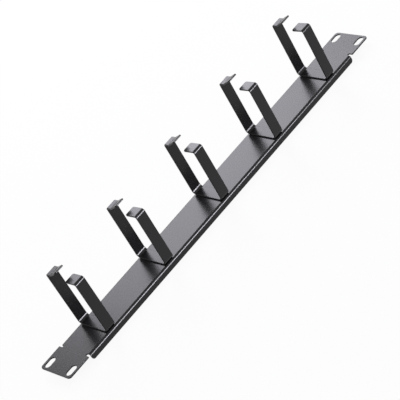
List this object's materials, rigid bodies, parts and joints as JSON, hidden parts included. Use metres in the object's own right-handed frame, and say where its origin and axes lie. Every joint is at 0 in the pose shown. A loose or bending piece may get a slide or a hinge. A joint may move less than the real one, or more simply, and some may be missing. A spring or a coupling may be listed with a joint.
{
  "type": "rack cable management panel",
  "caption": "Rack cable management panel: a folded steel face plate with slotted ears, carrying open strip rings whose mouths lie between a flat tab and a turned-up lip.",
  "frame": {"origin": "centre of the four mounting slots, on the back of the ears, where they meet the rack's rails", "axes": "+X along the panel, +Y across it from the rings' plain tabs to their lips, +Z out of the face, towards the rings"},
  "size_m": [0.4826, 0.0436, 0.0818],
  "materials": {
    "powder_coat": "satin black powder coat, finely textured"
  },
  "bodies": {
    "root": {"panel": "powder_coat", "cable_ring_1": "powder_coat", "cable_ring_2": "powder_coat", "cable_ring_3": "powder_coat", "cable_ring_4": "powder_coat", "cable_ring_5": "powder_coat"}
  },
  "joints": []
}
